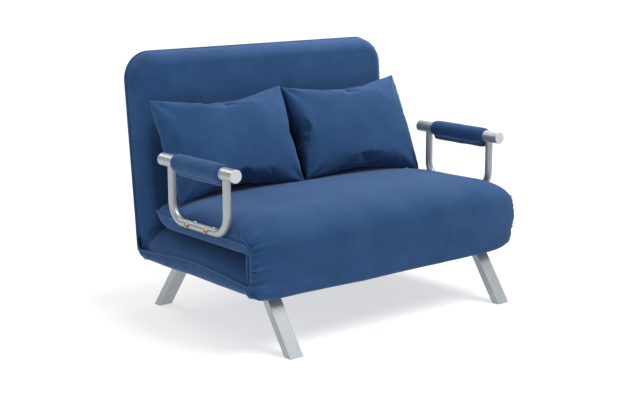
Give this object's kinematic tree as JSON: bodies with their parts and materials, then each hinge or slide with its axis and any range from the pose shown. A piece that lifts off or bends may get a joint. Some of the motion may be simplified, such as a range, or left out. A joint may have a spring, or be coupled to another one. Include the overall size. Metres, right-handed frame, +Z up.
{
  "type": "folding sofa bed",
  "caption": "Two-seat folding sofa bed with padded sections on a steel frame, loop armrests that become the bed's foot legs, splayed legs and loose pillows.",
  "frame": {"origin": "on the floor, at the middle of the footprint", "axes": "+X across the seat to the sitter's left hand side as seen from the front, +Y to the back, +Z up"},
  "size_m": [1.02, 0.72, 0.748],
  "materials": {
    "blue_cloth": "brushed",
    "foam": "matte",
    "strap": "woven",
    "silver_paint": "satin",
    "black_frame": "satin",
    "zinc_steel": "satin",
    "brass_bolt": "satin",
    "grey_plastic": "matte"
  },
  "bodies": {
    "base": {"base_rail_left": "black_frame", "base_rail_right": "black_frame", "base_crossbar_front": "black_frame", "base_crossbar_middle": "black_frame", "base_crossbar_rear": "black_frame", "leg_front_left": "silver_paint", "leg_front_right": "silver_paint", "leg_rear_left": "silver_paint", "leg_rear_right": "silver_paint", "foot_plugs": "grey_plastic", "leg_plates": "black_frame", "leg_bolts": "zinc_steel", "base_straps": "strap", "base_pad_top": "foam", "base_pad_bottom": "foam", "base_cover": "blue_cloth", "lower_pivot_pins": "zinc_steel", "ratchet_plate_left": "black_frame", "ratchet_plate_right": "black_frame", "back_hinge_pins": "zinc_steel"},
    "front_link": {"link_plate_left": "black_frame", "link_plate_right": "black_frame", "link_crossbar": "black_frame", "front_panel_pad": "foam", "front_panel_cover": "blue_cloth"},
    "seat": {"seat_rail_left": "black_frame", "seat_rail_right": "black_frame", "seat_crossbar_front": "black_frame", "seat_crossbar_middle": "black_frame", "seat_crossbar_rear": "black_frame", "seat_straps": "strap", "seat_pad_top": "foam", "seat_pad_bottom": "foam", "seat_cover": "blue_cloth", "upper_pivot_pins": "zinc_steel", "arm_loop_left": "silver_paint", "arm_bar_left": "silver_paint", "arm_sleeve_left": "blue_cloth", "arm_loop_right": "silver_paint", "arm_bar_right": "silver_paint", "arm_sleeve_right": "blue_cloth", "arm_caps": "grey_plastic", "arm_bolts": "brass_bolt", "arm_spacers": "zinc_steel"},
    "back": {"back_rail_left": "black_frame", "hinge_arm_left": "black_frame", "back_rail_right": "black_frame", "hinge_arm_right": "black_frame", "back_crossbar_lower": "black_frame", "back_crossbar_middle": "black_frame", "back_crossbar_upper": "black_frame", "pawls": "black_frame", "pawl_springs": "zinc_steel", "back_straps": "strap", "back_pad_front": "foam", "back_pad_rear": "foam", "back_cover": "blue_cloth"},
    "pillow_left": {"pillow_left": "blue_cloth"},
    "pillow_right": {"pillow_right": "blue_cloth"}
  },
  "joints": [
    {"name": "front_fold", "type": "hinge", "parent": "base", "child": "front_link", "pos_m": [0, -0.263, 0.187], "axis": [1, 0, 0], "range_deg": [0, 90]},
    {"name": "seat_fold", "type": "hinge", "parent": "front_link", "child": "seat", "pos_m": [0, -0.263, 0.3085], "axis": [1, 0, 0], "range_deg": [0, 90]},
    {"name": "back_recline", "type": "hinge", "parent": "base", "child": "back", "pos_m": [0, 0.27835, 0.187], "axis": [-1, 0, 0], "range_deg": [0, 85]},
    {"name": "pillow_left_lift", "type": "slide", "parent": "back", "child": "pillow_left", "axis": [0, -0.9397, 0.342], "range_m": [0, 0.2], "deforming": ["pillow_left"]},
    {"name": "pillow_right_lift", "type": "slide", "parent": "back", "child": "pillow_right", "axis": [0, -0.9397, 0.342], "range_m": [0, 0.2], "deforming": ["pillow_right"]}
  ],
  "couplings": [
    {"joint": "seat_fold", "follows": "front_fold", "ratio": 1}
  ]
}
